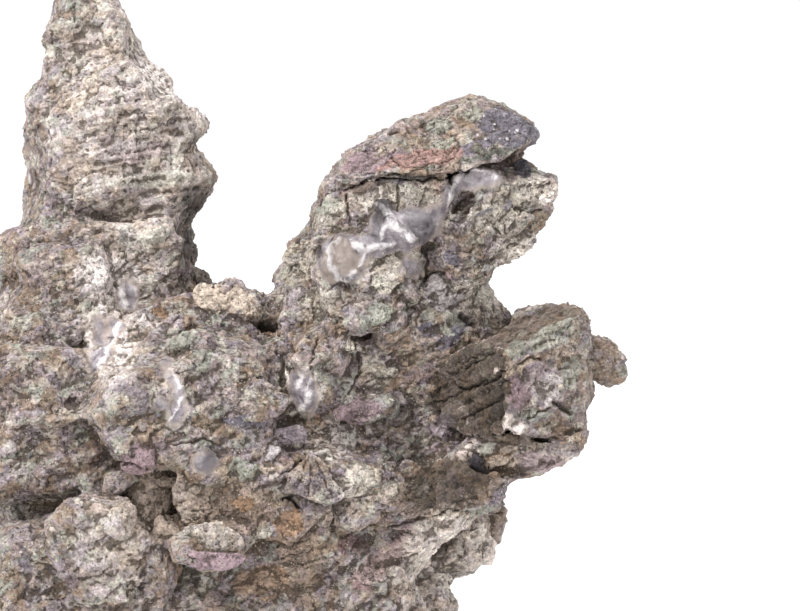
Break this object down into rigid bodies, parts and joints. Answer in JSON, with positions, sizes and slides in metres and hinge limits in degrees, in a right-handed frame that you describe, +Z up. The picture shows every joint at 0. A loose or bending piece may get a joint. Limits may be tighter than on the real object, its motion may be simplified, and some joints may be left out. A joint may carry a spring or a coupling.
{
  "type": "suiseki viewing stone",
  "caption": "Rugged viewing stone with a tall tapering left peak, a leaning capped spire at the right, a squared block jutting forward and a flat cut base.",
  "frame": {"origin": "a point near the middle of the flat cut base, on the base plane", "axes": "+Z is up, -Y is the front that is looked at, +X runs to the stone's right side as seen from the front"},
  "size_m": [0.1718, 0.1258, 0.2005],
  "materials": {
    "stone": "rough, pitted, mottled taupe, grey, sage green and mauve rock with milky quartz"
  },
  "bodies": {
    "root": {"stone": "stone"}
  },
  "joints": []
}
